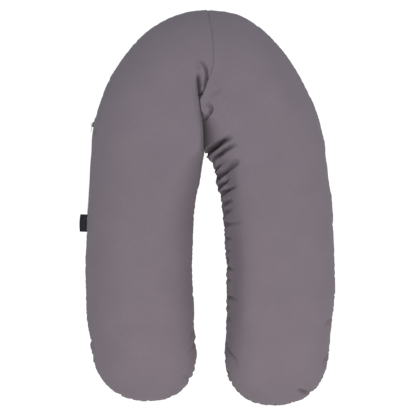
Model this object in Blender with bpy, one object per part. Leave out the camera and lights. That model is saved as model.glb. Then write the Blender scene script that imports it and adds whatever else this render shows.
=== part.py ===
"""A long U-shaped body pillow, lying on its back.

One filled cotton cover bends round on itself, so that its two arms lie side by side and press together
where they meet. A folded label is sewn into the outer seam, and so is a zip, whose slider shows.

Everything is modelled around the pivot, the point between the arms where the open gap ends, with +Y
towards the bend and +Z up. The last step moves the whole pillow over the origin. Metres and degrees.
"""

import math
from collections import namedtuple

import bmesh
import bpy
import numpy as np
from mathutils import Matrix, Vector

# The cover's cross-section. Both panels meet in a seam, which runs all round at SEAM_HEIGHT.
SEAM_HEIGHT = 0.078
BELLY_DROP = 1.12  # how far the lower panel would hang without the floor, as a share of SEAM_HEIGHT
CROWN_ROUNDNESS = 2.4
BELLY_ROUNDNESS = 3.2
SEAM_PINCH = 0.60  # 0.5 is a full round edge, and more draws the two panels together at the seam
RING_POINTS = 40

# The arms, at steps down from the pivot: how far aside of it the outer and the inner seam lie.
ArmRow = namedtuple("ArmRow", "down outer inner crown")
LEFT_ARM = (
    ArmRow(0.000, 0.2203, 0.000, 0.160),
    ArmRow(0.023, 0.2226, 0.004, 0.160),
    ArmRow(0.058, 0.2247, 0.009, 0.162),
    ArmRow(0.094, 0.2270, 0.017, 0.164),
    ArmRow(0.133, 0.2296, 0.021, 0.166),
    ArmRow(0.181, 0.2309, 0.023, 0.167),
    ArmRow(0.240, 0.2323, 0.024, 0.167),
    ArmRow(0.269, 0.2318, 0.023, 0.167),
    ArmRow(0.318, 0.2303, 0.0195, 0.165),
    ArmRow(0.340, 0.2276, 0.019, 0.163),
)
RIGHT_ARM = (
    ArmRow(0.000, 0.2342, 0.000, 0.158),
    ArmRow(0.010, 0.2351, 0.0055, 0.158),
    ArmRow(0.023, 0.2371, 0.014, 0.158),
    ArmRow(0.058, 0.2410, 0.0235, 0.160),
    ArmRow(0.094, 0.2466, 0.030, 0.163),
    ArmRow(0.133, 0.2490, 0.034, 0.166),
    ArmRow(0.181, 0.2510, 0.038, 0.168),
    ArmRow(0.269, 0.2532, 0.041, 0.168),
    ArmRow(0.318, 0.2495, 0.040, 0.166),
    ArmRow(0.350, 0.2450, 0.040, 0.164),
)

# The rounded end past an arm's last row: its length, how far its end lies towards the gap, and its
# bluntness seen from above, where 2 is an ellipse.
Tip = namedtuple("Tip", "length shift bluntness")
LEFT_TIP = Tip(0.147, 0.018, 3.0)
RIGHT_TIP = Tip(0.143, 0.007, 3.4)
TIP_SHIFT_POWER = 1.5

# The outer seam round the bend, in directions from the pivot: 0 is the right arm, and 180 the left one.
BendRow = namedtuple("BendRow", "angle reach crown")
BEND = (
    BendRow(0, 0.2342, 0.158),
    BendRow(12, 0.2295, 0.159),
    BendRow(30, 0.2304, 0.163),
    BendRow(43, 0.2383, 0.165),
    BendRow(56, 0.2503, 0.165),
    BendRow(67, 0.2630, 0.163),
    BendRow(77, 0.2710, 0.160),
    BendRow(89, 0.2735, 0.158),
    BendRow(96, 0.2731, 0.158),
    BendRow(108, 0.2654, 0.161),
    BendRow(120, 0.2535, 0.164),
    BendRow(133, 0.2388, 0.166),
    BendRow(143, 0.2317, 0.165),
    BendRow(156, 0.2250, 0.163),
    BendRow(164, 0.2218, 0.162),
    BendRow(172, 0.2196, 0.161),
    BendRow(180, 0.2203, 0.160),
)
WIDEST_HALF = 0.117  # the bend is no wider than this from its outer seam to its crown

# The inner edge of both arms, which goes on above the pivot as the cleft where the two lobes press
# together. Over its rounding the cover rises to its full height, sooner on the left than on the right,
# and depth is the share of that height that the edge takes away. The left lobe leans over the right one.
CLEFT_ANGLE = 94
CLEFT_LEAN = 0.008
CLEFT_CROWN = 0.158
CLEFT_WIDTH = 0.045  # to either side, where it bends the lobes
CLEFT_START = 0.050  # the lean grows over this length above the pivot, and the crown fades in below it
EdgeRow = namedtuple("EdgeRow", "along left right depth")
INNER_EDGE = (
    EdgeRow(-0.160, 0.100, 0.105, 1.00),
    EdgeRow(-0.100, 0.082, 0.098, 1.00),
    EdgeRow(-0.050, 0.056, 0.084, 1.00),
    EdgeRow(0.000, 0.032, 0.062, 1.00),
    EdgeRow(0.030, 0.022, 0.052, 0.88),
    EdgeRow(0.070, 0.018, 0.042, 0.72),
    EdgeRow(0.110, 0.016, 0.034, 0.50),
    EdgeRow(0.145, 0.016, 0.026, 0.24),
    EdgeRow(0.178, 0.018, 0.020, 0.00),
)

# Creases in the right arm, whose inner cloth is too long for the bend. Each is deepest at the gap.
Crease = namedtuple("Crease", "start end depth half_width")
CREASES = (
    Crease((0.024, 0.005), (0.056, 0.018), 0.007, 0.010),
    Crease((0.022, -0.017), (0.064, 0.006), 0.006, 0.009),
    Crease((0.020, -0.041), (0.062, -0.032), 0.006, 0.010),
    Crease((0.029, -0.083), (0.072, -0.072), 0.005, 0.010),
)
CREASE_FADE_BELOW_SEAM = 0.035

# How many sections there are, for one arm or one side of the bend. Each side's sections start on the
# cleft, up to CLEFT_MESHED, and crowd together at the gap's end and at the creases.
TIP_SECTIONS = 9
TIP_CROWDING = 1.35
LEFT_ARM_SECTIONS = 15
CREASED_LENGTH = 0.095
CREASED_SECTIONS = 19
RIGHT_ARM_SECTIONS = 10
BEND_SECTIONS = 22
CLEFT_MESHED = 0.120
BEND_CROWDING = 1.25

# The label, folded double and caught in the left arm's outer seam.
LABEL_DOWN = 0.141  # its middle, below the pivot
LABEL_WIDTH = 0.034
LABEL_REACH = 0.0135
LABEL_LAYER = 0.0005
LABEL_LOOP = 0.0006  # the space between its two layers
LABEL_BOW = 0.10  # how much less it reaches at its corners, as a share of LABEL_REACH
LABEL_DROOP = 0.0015
LABEL_BENDS = 6  # faces along each layer, and across it
LABEL_LOOP_FACES = 6

# The zip's slider on the same seam, above the label, with its pull along the edge.
SLIDER_ANGLE = 166.8
SLIDER_SIZE = Vector((0.0100, 0.0032, 0.0065))  # along the seam, outwards, up
SLIDER_ROUNDING = 0.0009
BAIL_RISE = 0.0019
BAIL_WIRE = 0.0009
BAIL_SUNK = 0.0004
BAIL_SIDES = 8
BAIL_STEPS = 10
PULL_SIZE = Vector((0.0160, 0.0008, 0.0046))
PULL_SLOT = Vector((0.0032, 0.0, 0.0022))
PULL_BAR = 0.0010
PULL_SQUARENESS = 4  # 2 is an oval, and more is squarer
PULL_POINTS = 24

TOUCHING = 0.0003  # the space between pieces that touch
SHARP_ANGLE = 60

CLOTH = ("mauve grey cotton", (0.215, 0.180, 0.207), 0.92, 0.0)
LABEL_SATIN = ("navy label satin", (0.010, 0.010, 0.018), 0.55, 0.0)
SLIDER_METAL = ("grey slider metal", (0.110, 0.105, 0.110), 0.45, 0.8)


def material(look):
    name, colour, roughness, metallic = look
    made = bpy.data.materials.get(name) or bpy.data.materials.new(name)
    made.use_nodes = True
    shader = made.node_tree.nodes["Principled BSDF"]
    shader.inputs["Base Color"].default_value = (*colour, 1)
    shader.inputs["Roughness"].default_value = roughness
    shader.inputs["Metallic"].default_value = metallic
    made.diffuse_color = (*colour, 1)
    return made


def finish(bm, name, look, frame=Matrix()):
    """Turns a bmesh into a named, smooth-shaded object, with its origin at the frame's."""
    mesh = bpy.data.meshes.new(name)
    bm.to_mesh(mesh)
    bm.free()
    mesh.materials.append(material(look))
    mesh.shade_smooth()
    mesh.set_sharp_from_angle(angle=math.radians(SHARP_ANGLE))
    piece = bpy.data.objects.new(name, mesh)
    piece.matrix_world = frame
    bpy.context.scene.collection.objects.link(piece)
    return piece


def smooth_value(rows, at, column):
    """The value of a table's column at a place in its first column. The curve is smooth, passes no row's
    value on its way to the next one, and is level at both ends."""
    places = np.array([row[0] for row in rows], float)
    values = np.array([getattr(row, column) for row in rows], float)
    rises = np.diff(values) / np.diff(places)
    slopes = np.zeros(len(rows))
    turning = rises[:-1] * rises[1:] <= 0
    slopes[1:-1] = np.where(turning, 0, 2 / (1 / (rises[:-1] + turning) + 1 / (rises[1:] + turning)))
    at = min(max(at, places[0]), places[-1])
    i = min(int(np.searchsorted(places, at, side="right")), len(places) - 1) - 1
    gap = places[i + 1] - places[i]
    t = (at - places[i]) / gap
    ends = (1 + 2 * t) * (1 - t) ** 2 * values[i] + t * t * (3 - 2 * t) * values[i + 1]
    return ends + gap * (t * (1 - t) ** 2 * slopes[i] + t * t * (t - 1) * slopes[i + 1])


# The pillow

Section = namedtuple("Section", "inner outer crown fullness half_width")


def arm_section(arm, side, down):
    """A level section across an arm. side is -1 for the left arm and 1 for the right one."""
    inner = Vector((side * smooth_value(arm, down, "inner"), -down))
    outer = Vector((side * smooth_value(arm, down, "outer"), -down))
    return Section(inner, outer, smooth_value(arm, down, "crown"), 1, (outer - inner).length / 2)


def tip_section(arm, tip, side, turn):
    """A section of an arm's round end. turn goes from 0, where it starts, to 90 at its very end."""
    last = arm[-1]
    forward = math.sin(math.radians(turn)) ** (2 / tip.bluntness)
    half_width = (last.outer - last.inner) / 2 * math.cos(math.radians(turn))
    middle = (last.outer + last.inner) / 2 - tip.shift * forward**TIP_SHIFT_POWER
    down = last.down + tip.length * forward
    inner = Vector((side * (middle - half_width), -down))
    outer = Vector((side * (middle + half_width), -down))
    fullness = (1 - min(forward, 1) ** CROWN_ROUNDNESS) ** SEAM_PINCH
    return Section(inner, outer, last.crown, fullness, half_width)


def bend_section(angle, along=0):
    """A section of the bend, from a place along the cleft to the outer seam in a direction."""
    inner, outer = (
        Vector((math.cos(math.radians(turn)), math.sin(math.radians(turn)))) * reach
        for turn, reach in ((CLEFT_ANGLE, along), (angle, smooth_value(BEND, angle, "reach")))
    )
    half_width = min(outer.length / 2, WIDEST_HALF)
    return Section(inner, outer, smooth_value(BEND, angle, "crown"), 1, half_width)


def all_sections():
    """Every section, from near the left arm's tip, round the bend, to near the right arm's tip."""
    tip_turns = [90 * (step / TIP_SECTIONS) ** TIP_CROWDING for step in range(1, TIP_SECTIONS)]
    sections = [tip_section(LEFT_ARM, LEFT_TIP, -1, turn) for turn in reversed(tip_turns)]
    for down in np.linspace(LEFT_ARM[-1].down, 0, LEFT_ARM_SECTIONS):
        sections.append(arm_section(LEFT_ARM, -1, down))
    shares = [(step / BEND_SECTIONS) ** BEND_CROWDING for step in range(1, BEND_SECTIONS)]
    for share in shares:
        sections.append(bend_section(180 - (180 - CLEFT_ANGLE) * share, CLEFT_MESHED * share))
    sections.append(bend_section(CLEFT_ANGLE, CLEFT_MESHED))
    for share in reversed(shares):
        sections.append(bend_section(CLEFT_ANGLE * share, CLEFT_MESHED * share))
    for down in np.linspace(0, CREASED_LENGTH, CREASED_SECTIONS):
        sections.append(arm_section(RIGHT_ARM, 1, down))
    for down in np.linspace(CREASED_LENGTH, RIGHT_ARM[-1].down, RIGHT_ARM_SECTIONS + 1)[1:]:
        sections.append(arm_section(RIGHT_ARM, 1, down))
    return sections + [tip_section(RIGHT_ARM, RIGHT_TIP, 1, turn) for turn in tip_turns]


def rise(reach, roundness):
    """How much of its full height the cover has, from its edge (reach 0) to where the edge ends (1)."""
    return (1 - (1 - min(reach, 1)) ** roundness) ** SEAM_PINCH


def eased(share):
    """Rises smoothly from 0 to 1 as the share does."""
    share = min(max(share, 0), 1)
    return share * share * (3 - 2 * share)


def cleft_place(point):
    """How far a point lies along the cleft's line, up from the pivot, and how far to the right of it."""
    angle = math.radians(CLEFT_ANGLE)
    along = point.x * math.cos(angle) + point.y * math.sin(angle)
    return along, point.x * math.sin(angle) - point.y * math.cos(angle)


def section_point(section, turn):
    """A point of a section's outline. The inner seam is at 0, the crown at 90, the outer seam at 180, the
    belly at 270 and the inner seam again at 360. The belly is flat where it lies on the floor."""
    plan = section.inner.lerp(section.outer, (1 - math.cos(math.radians(turn))) / 2)
    roundness = CROWN_ROUNDNESS if turn <= 180 else BELLY_ROUNDNESS
    along, beside = cleft_place(plan)
    from_inner = abs(beside) if along > 0 else (plan - section.inner).length
    lobe = "left" if cleft_place(section.outer)[1] < 0 else "right"
    rounding = min(smooth_value(INNER_EDGE, along, lobe), section.half_width)
    inner_rise = rise(from_inner / rounding, roundness)
    outer_rise = rise((plan - section.outer).length / section.half_width, roundness)
    depth = smooth_value(INNER_EDGE, along, "depth")
    share = section.fullness * outer_rise * (1 - depth * (1 - inner_rise))
    if turn > 180:
        return Vector((plan.x, plan.y, max(0, SEAM_HEIGHT * (1 - BELLY_DROP * share))))
    near = eased(1 - from_inner / CLEFT_WIDTH)
    plan.x += CLEFT_LEAN * math.sin(math.pi * share) * near * eased(along / CLEFT_START)
    crown = section.crown + (CLEFT_CROWN - section.crown) * near * eased(1 + along / CLEFT_START)
    return Vector((plan.x, plan.y, SEAM_HEIGHT + (crown - SEAM_HEIGHT) * share))


def crease_depth(point):
    """How far the creases draw the cloth in at a point."""
    deepest = 0
    for crease in CREASES:
        start, end = Vector(crease.start), Vector(crease.end)
        line = end - start
        share = (point.xy - start).dot(line) / line.length_squared
        off = (point.xy - start - line * min(max(share, 0), 1)).length
        if share < 1 and off < crease.half_width:
            trough = (1 + math.cos(math.pi * off / crease.half_width)) / 2
            deepest = max(deepest, crease.depth * trough * (1 - max(share, 0) ** 2))
    below = max(0, SEAM_HEIGHT - point.z) / CREASE_FADE_BELOW_SEAM
    return deepest * max(0, 1 - below)


def make_pillow():
    """Lays a grid through the sections. Its long edges meet along the inner seam and, above and below,
    along the cleft. Then it closes both tips and draws in the creases."""
    sections = all_sections()
    last = len(sections) - 1
    bm = bmesh.new()
    bmesh.ops.create_grid(bm, x_segments=last, y_segments=RING_POINTS, size=0.5)
    for vert in bm.verts:
        number = round((vert.co.x + 0.5) * last)
        turn = 360 * round((vert.co.y + 0.5) * RING_POINTS) / RING_POINTS
        vert.co = section_point(sections[number], turn)
    bmesh.ops.remove_doubles(bm, verts=bm.verts, dist=0.00001)
    tips = bmesh.ops.holes_fill(bm, edges=bm.edges, sides=RING_POINTS)["faces"]
    for middle in bmesh.ops.poke(bm, faces=tips)["verts"]:
        arm, tip, side = (LEFT_ARM, LEFT_TIP, -1) if middle.co.x < 0 else (RIGHT_ARM, RIGHT_TIP, 1)
        middle.co = (*tip_section(arm, tip, side, 90).inner, SEAM_HEIGHT)
    bmesh.ops.recalc_face_normals(bm, faces=bm.faces)
    bm.normal_update()
    drawn_in = {vert: vert.co - vert.normal * crease_depth(vert.co) for vert in bm.verts}
    for vert, place in drawn_in.items():
        vert.co = (place.x, place.y, max(0, place.z))
    return finish(bm, "pillow", CLOTH)


def seam_frame(before, at, after):
    """A frame on the outer seam: X runs along the seam, down the left arm, and Y points outwards."""
    along = (after - before).normalized().to_3d()
    outwards = Vector((along.y, -along.x, 0))
    axes = Matrix((along, outwards, along.cross(outwards))).transposed().to_4x4()
    return Matrix.Translation((*at, SEAM_HEIGHT)) @ axes


# The label


def make_label():
    """Folds a strip double: out from the seam along the lower layer, round the loop, and back above."""
    half = LABEL_WIDTH / 2
    ends = [arm_section(LEFT_ARM, -1, LABEL_DOWN + step).outer for step in (-half, 0, half)]
    radius = (LABEL_LOOP + LABEL_LAYER) / 2
    straight = LABEL_REACH - radius
    path = [(straight * i / LABEL_BENDS, -radius) for i in range(LABEL_BENDS)]
    for i in range(LABEL_LOOP_FACES + 1):
        turned = math.pi * i / LABEL_LOOP_FACES
        path.append((straight + radius * math.sin(turned), -radius * math.cos(turned)))
    path += [(out, radius) for out, _ in reversed(path[:LABEL_BENDS])]
    bm = bmesh.new()
    bmesh.ops.create_grid(bm, x_segments=LABEL_BENDS, y_segments=len(path) - 1, size=0.5)
    for vert in bm.verts:
        out, up = path[round((vert.co.y + 0.5) * (len(path) - 1))]
        reach = out / LABEL_REACH
        out *= 1 - LABEL_BOW * (2 * vert.co.x) ** 2
        vert.co = (vert.co.x * LABEL_WIDTH, TOUCHING + out, up - LABEL_DROOP * reach**2)
    bmesh.ops.recalc_face_normals(bm, faces=bm.faces)
    label = finish(bm, "side_label", LABEL_SATIN, seam_frame(*ends))
    thickness = label.modifiers.new("layer", "SOLIDIFY")
    thickness.thickness = LABEL_LAYER
    thickness.offset = 0
    return label


# The zip's slider


def slider_frame():
    ends = [bend_section(SLIDER_ANGLE + turn).outer for turn in (-1, 0, 1)]
    return seam_frame(*ends)


def make_bail(frame):
    """The arch on the slider that holds the pull. It is joined to the slider and isn't a piece itself."""
    bm = bmesh.new()
    wire = bmesh.ops.create_circle(bm, segments=BAIL_SIDES, radius=BAIL_WIRE / 2, cap_ends=True)["verts"]
    bmesh.ops.rotate(bm, verts=wire, matrix=Matrix.Rotation(math.pi / 2, 3, "X"))
    bmesh.ops.translate(bm, verts=wire, vec=(BAIL_RISE + BAIL_WIRE / 2, 0, 0))
    whole = bm.verts[:] + bm.edges[:] + bm.faces[:]
    bmesh.ops.spin(bm, geom=whole, axis=(0, 0, 1), angle=math.pi, steps=BAIL_STEPS)
    for vert in bm.verts:
        if vert.co.y < BAIL_SUNK / 2:
            vert.co.y -= BAIL_SUNK
    bmesh.ops.translate(bm, verts=bm.verts, vec=(0, TOUCHING + SLIDER_SIZE.y, 0))
    bmesh.ops.recalc_face_normals(bm, faces=bm.faces)
    bail = finish(bm, "bail", SLIDER_METAL, frame)
    bail.hide_render = True
    bail.display_type = "WIRE"
    return bail


def make_slider():
    frame = slider_frame()
    bm = bmesh.new()
    bmesh.ops.create_cube(bm, size=1)
    bmesh.ops.scale(bm, verts=bm.verts, vec=SLIDER_SIZE)
    bmesh.ops.bevel(bm, geom=bm.edges, offset=SLIDER_ROUNDING, segments=2, profile=0.5, affect="EDGES")
    bmesh.ops.translate(bm, verts=bm.verts, vec=(0, TOUCHING + SLIDER_SIZE.y / 2, 0))
    slider = finish(bm, "zip_slider", SLIDER_METAL, frame)
    union = slider.modifiers.new("bail", "BOOLEAN")
    union.operation = "UNION"
    union.object = make_bail(frame)
    return slider


def squared_circle(bm, centre, size):
    """A closed outline with rounded corners, in the XZ plane."""
    for vert in bmesh.ops.create_circle(bm, segments=PULL_POINTS, radius=1)["verts"]:
        wide, high = (math.copysign(abs(n) ** (2 / PULL_SQUARENESS), n) for n in vert.co.xy)
        vert.co = (centre + wide * size.x / 2, 0, high * size.z / 2)


def make_pull():
    """A flat tab whose slot hooks under the bail. It lies along the seam."""
    bm = bmesh.new()
    squared_circle(bm, PULL_SIZE.x / 2, PULL_SIZE)
    squared_circle(bm, PULL_BAR + PULL_SLOT.x / 2, PULL_SLOT)
    bmesh.ops.bridge_loops(bm, edges=bm.edges)
    bmesh.ops.recalc_face_normals(bm, faces=bm.faces)
    bmesh.ops.solidify(bm, geom=bm.faces, thickness=PULL_SIZE.y)
    lowest = min(vert.co.y for vert in bm.verts)
    bmesh.ops.translate(bm, verts=bm.verts, vec=(0, 2 * TOUCHING + SLIDER_SIZE.y - lowest, 0))
    bmesh.ops.recalc_face_normals(bm, faces=bm.faces)
    return finish(bm, "zip_pull", SLIDER_METAL, slider_frame())


def main():
    for thing in list(bpy.data.objects):
        bpy.data.objects.remove(thing)
    pieces = [make_pillow(), make_label(), make_slider(), make_pull()]
    graph = bpy.context.evaluated_depsgraph_get()
    points = [
        piece.matrix_world @ vert.co for piece in pieces for vert in piece.evaluated_get(graph).data.vertices
    ]
    low = Vector(min(point[axis] for point in points) for axis in range(3))
    high = Vector(max(point[axis] for point in points) for axis in range(3))
    for thing in bpy.data.objects:
        thing.matrix_world.translation -= Vector(((low.x + high.x) / 2, (low.y + high.y) / 2, low.z))


main()
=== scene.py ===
import math
from collections import namedtuple

import bmesh
import bpy
import numpy as np
from mathutils import Matrix, Vector, kdtree, noise
from mathutils.bvhtree import BVHTree


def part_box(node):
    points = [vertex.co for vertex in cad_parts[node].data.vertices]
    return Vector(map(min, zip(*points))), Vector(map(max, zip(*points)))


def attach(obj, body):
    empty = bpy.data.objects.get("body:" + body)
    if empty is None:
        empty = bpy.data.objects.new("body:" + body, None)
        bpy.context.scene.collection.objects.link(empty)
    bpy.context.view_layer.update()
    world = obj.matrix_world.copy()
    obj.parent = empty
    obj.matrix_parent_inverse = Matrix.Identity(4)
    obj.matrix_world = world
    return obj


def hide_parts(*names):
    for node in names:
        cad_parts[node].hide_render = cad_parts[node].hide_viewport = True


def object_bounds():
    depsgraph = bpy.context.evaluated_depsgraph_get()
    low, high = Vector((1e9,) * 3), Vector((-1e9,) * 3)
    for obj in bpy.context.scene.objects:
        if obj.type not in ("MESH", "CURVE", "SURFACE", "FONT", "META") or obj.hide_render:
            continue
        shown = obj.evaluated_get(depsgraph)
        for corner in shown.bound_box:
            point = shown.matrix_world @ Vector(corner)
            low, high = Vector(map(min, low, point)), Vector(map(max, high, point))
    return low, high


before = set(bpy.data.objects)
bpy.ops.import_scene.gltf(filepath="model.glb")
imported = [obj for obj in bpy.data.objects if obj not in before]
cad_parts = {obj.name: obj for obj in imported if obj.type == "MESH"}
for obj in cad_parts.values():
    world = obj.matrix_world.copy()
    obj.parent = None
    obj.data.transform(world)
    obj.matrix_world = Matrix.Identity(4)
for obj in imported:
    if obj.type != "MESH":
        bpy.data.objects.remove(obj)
cad_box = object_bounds()

# The cover
# Two panels of soft mauve-grey cotton, cut to the same U, are sewn together round the edge and turned
# right side out. A loose polyester filling holds them round. Where the arms of the U press together, the
# left one laps over the right one, and the spare cloth on the inside of the bend bunches into folds.

# The cross-section. Both panels meet in the seam. Places are given round the gap's upper end, in metres.
SEAM_HEIGHT = 0.078
BELLY_DROP = 1.12  # how far the lower panel would hang without the floor, as a share of SEAM_HEIGHT
CROWN_ROUNDNESS = 2.4
BELLY_ROUNDNESS = 3.2
SEAM_PINCH = 0.60  # 0.5 is a full round edge, and more draws the two panels together at the seam

# The arms, at steps down from there: how far aside the outer and the inner seam lie, and the top's height.
ArmRow = namedtuple("ArmRow", "down outer inner crown")
LEFT_ARM = (
    ArmRow(0.000, 0.2210, 0.000, 0.160),
    ArmRow(0.023, 0.2228, 0.004, 0.160),
    ArmRow(0.058, 0.2247, 0.009, 0.162),
    ArmRow(0.094, 0.2270, 0.017, 0.164),
    ArmRow(0.133, 0.2296, 0.021, 0.166),
    ArmRow(0.181, 0.2309, 0.023, 0.167),
    ArmRow(0.240, 0.2323, 0.024, 0.167),
    ArmRow(0.269, 0.2318, 0.023, 0.167),
    ArmRow(0.318, 0.2303, 0.0195, 0.165),
    ArmRow(0.340, 0.2285, 0.020, 0.163),
)
RIGHT_ARM = (
    ArmRow(0.000, 0.2342, 0.000, 0.158),
    ArmRow(0.010, 0.2351, 0.0018, 0.158),
    ArmRow(0.017, 0.2361, 0.0046, 0.158),
    ArmRow(0.024, 0.2372, 0.0132, 0.158),
    ArmRow(0.036, 0.2386, 0.0168, 0.159),
    ArmRow(0.049, 0.2400, 0.0178, 0.160),
    ArmRow(0.072, 0.2430, 0.0230, 0.161),
    ArmRow(0.094, 0.2466, 0.0293, 0.163),
    ArmRow(0.133, 0.2490, 0.034, 0.166),
    ArmRow(0.181, 0.2510, 0.038, 0.168),
    ArmRow(0.269, 0.2532, 0.041, 0.168),
    ArmRow(0.318, 0.2495, 0.040, 0.166),
    ArmRow(0.350, 0.2450, 0.040, 0.164),
)

# The round end past an arm's last row: its length, how far its end lies towards the gap, and its bluntness
# seen from above, where 2 is an ellipse.
Tip = namedtuple("Tip", "length shift bluntness")
LEFT_TIP = Tip(0.147, 0.0145, 3.3)
RIGHT_TIP = Tip(0.1454, 0.0079, 3.5)
TIP_SHIFT_POWER = 0.8

# The outer seam round the bend: how far it reaches in each direction. 0 is the right arm, 180 the left one.
BendRow = namedtuple("BendRow", "angle reach crown")
BEND = (
    BendRow(0, 0.2342, 0.158),
    BendRow(12, 0.2295, 0.159),
    BendRow(30, 0.2304, 0.163),
    BendRow(43, 0.2383, 0.165),
    BendRow(56, 0.2503, 0.165),
    BendRow(67, 0.2630, 0.163),
    BendRow(78, 0.2722, 0.160),
    BendRow(89, 0.2737, 0.158),
    BendRow(96, 0.2722, 0.158),
    BendRow(108, 0.2654, 0.161),
    BendRow(120, 0.2535, 0.164),
    BendRow(133, 0.2388, 0.166),
    BendRow(143, 0.2317, 0.165),
    BendRow(156, 0.2246, 0.163),
    BendRow(168, 0.2217, 0.161),
    BendRow(180, 0.2210, 0.160),
)
WIDEST_HALF = 0.117  # the bend is no wider than this from its outer seam to its crown

# The edge along the gap, and above it the cleft where the two lobes press together. Over the lengths left
# and right each lobe rises to its full height, and depth is the share of it that the edge takes away. lap
# is how far both lobes lean to the right halfway up, and shift is how far the edge itself lies to that side.
CLEFT_ANGLE = 94
CLEFT_MESHED = 0.120  # how far up it the sections' inner ends go
CLEFT_CROWN = 0.158  # the height of both lobes beside it
CLEFT_WIDTH = 0.045  # how far to either side it bends them
CLEFT_LIP = 0.012  # how near it the left lobe's height starts to change
EdgeRow = namedtuple("EdgeRow", "along left right depth lap shift")
INNER_EDGE = (
    EdgeRow(-0.300, 0.105, 0.066, 1.00, 0.000, 0.0000),
    EdgeRow(-0.160, 0.105, 0.074, 1.00, 0.000, 0.0000),
    EdgeRow(-0.100, 0.095, 0.084, 1.00, 0.000, 0.0000),
    EdgeRow(-0.050, 0.072, 0.094, 1.00, 0.000, 0.0000),
    EdgeRow(-0.020, 0.044, 0.088, 1.00, 0.000, 0.0000),
    EdgeRow(0.000, 0.014, 0.070, 1.00, 0.000, -0.0010),
    EdgeRow(0.015, 0.006, 0.058, 0.88, 0.003, -0.0033),
    EdgeRow(0.040, 0.004, 0.046, 0.66, 0.003, -0.0023),
    EdgeRow(0.058, 0.004, 0.032, 0.58, 0.003, -0.0032),
    EdgeRow(0.070, 0.004, 0.009, 0.40, 0.003, -0.0041),
    EdgeRow(0.080, 0.004, 0.004, 0.20, 0.003, -0.0050),
    EdgeRow(0.094, 0.004, 0.004, 0.20, 0.003, -0.0057),
    EdgeRow(0.104, 0.004, 0.010, 0.34, 0.003, -0.0062),
    EdgeRow(0.120, 0.004, 0.015, 0.35, 0.003, -0.0070),
    EdgeRow(0.138, 0.003, 0.012, 0.27, 0.002, -0.0064),
    EdgeRow(0.150, 0.004, 0.012, 0.10, 0.001, -0.0056),
    EdgeRow(0.168, 0.012, 0.012, 0.00, 0.000, 0.0000),
)

# How many sections each stretch has. They are closer at its start where it has a crowding. The right arm
# is folded for FOLDED_LENGTH, and has its own stretch there.
TIP_SECTIONS = 74
TIP_CROWDING = 1.2
LEFT_ARM_SECTIONS = 172
FOLDED_LENGTH = 0.100
FOLDED_SECTIONS = 84
RIGHT_ARM_SECTIONS = 122
BEND_SECTIONS = 190
BEND_CROWDING = 1.25

# The quarters of a section's outline: from the inner seam over the crown to the outer seam, and back below.
# Their points are closer at the seam, and a quarter that ends at its seam has a negative number of them.
Quarter = namedtuple("Quarter", "seam points crowding")
QUARTERS = (Quarter(0, 34, 1.35), Quarter(180, -24, 1.5), Quarter(180, 13, 1.8), Quarter(360, -13, 1.8))

# Where the cloth is folded, its faces are finer across the sections.
FOLDED_LEFT = 20  # how many sections of the bend's left half have folds too
FOLDED_POINTS = 29  # how many of the inner top quarter's points they reach
FOLDED_FINER = 3  # how many faces stand for one there

# Cuts across the cover, one row for each: where the inner and the outer seam lie, the crown's height, how
# much of it is left in a round end, and how far the crown lies from the outer seam.
Sections = namedtuple("Sections", "inner outer crown fullness half_width")


def follow(rows, column, at):
    """A smooth curve through a table's column, which overshoots no row."""
    places = np.array([row[0] for row in rows], float)
    values = np.array([getattr(row, column) for row in rows], float)
    rises = np.diff(values) / np.diff(places)
    slopes = np.zeros(len(rows))  # level at both ends and where the values turn
    turning = rises[:-1] * rises[1:] <= 0
    slopes[1:-1] = np.where(turning, 0, 2 / (1 / (rises[:-1] + turning) + 1 / (rises[1:] + turning)))
    at = np.clip(at, places[0], places[-1])
    i = np.minimum(np.searchsorted(places, at, side="right"), len(places) - 1) - 1
    gap = places[i + 1] - places[i]
    t = (at - places[i]) / gap
    ends = (1 + 2 * t) * (1 - t) ** 2 * values[i] + t * t * (3 - 2 * t) * values[i + 1]
    return ends + gap * (t * (1 - t) ** 2 * slopes[i] + t * t * (t - 1) * slopes[i + 1])


def arm_sections(arm, side, down):
    """Level sections across an arm. side is -1 for the left arm and 1 for the right one."""
    inner, outer = follow(arm, "inner", down), follow(arm, "outer", down)
    ends = [np.stack((side * aside, -down), axis=1) for aside in (inner, outer)]
    return Sections(*ends, follow(arm, "crown", down), np.ones(len(down)), (outer - inner) / 2)


def tip_sections(arm, tip, side, turn):
    """Sections of an arm's round end. turn goes from 0, where it starts, to 90 at its very end."""
    last = arm[-1]
    forward = np.sin(np.radians(turn)) ** (2 / tip.bluntness)
    half_width = (last.outer - last.inner) / 2 * np.cos(np.radians(turn))
    middle = (last.outer + last.inner) / 2 - tip.shift * forward**TIP_SHIFT_POWER
    down = last.down + tip.length * forward
    ends = [np.stack((side * (middle + half_width * way), -down), axis=1) for way in (-1, 1)]
    fullness = (1 - np.minimum(forward, 1) ** CROWN_ROUNDNESS) ** SEAM_PINCH
    return Sections(*ends, np.full(len(turn), last.crown), fullness, half_width)


def heading(angle):
    """The direction at an angle in degrees, seen from above."""
    return np.stack((np.cos(np.radians(angle)), np.sin(np.radians(angle))), axis=-1)


def bend_sections(start_angle, share):
    """Sections from the arm (share 0) towards the cleft's upper end (share 1)."""
    angle = start_angle + (CLEFT_ANGLE - start_angle) * share
    reach = follow(BEND, "reach", angle)
    inner = heading(CLEFT_ANGLE) * (CLEFT_MESHED * share)[:, None]
    outer = heading(angle) * reach[:, None]
    half_width = np.minimum(reach / 2, WIDEST_HALF)
    return Sections(inner, outer, follow(BEND, "crown", angle), np.ones(len(share)), half_width)


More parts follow.
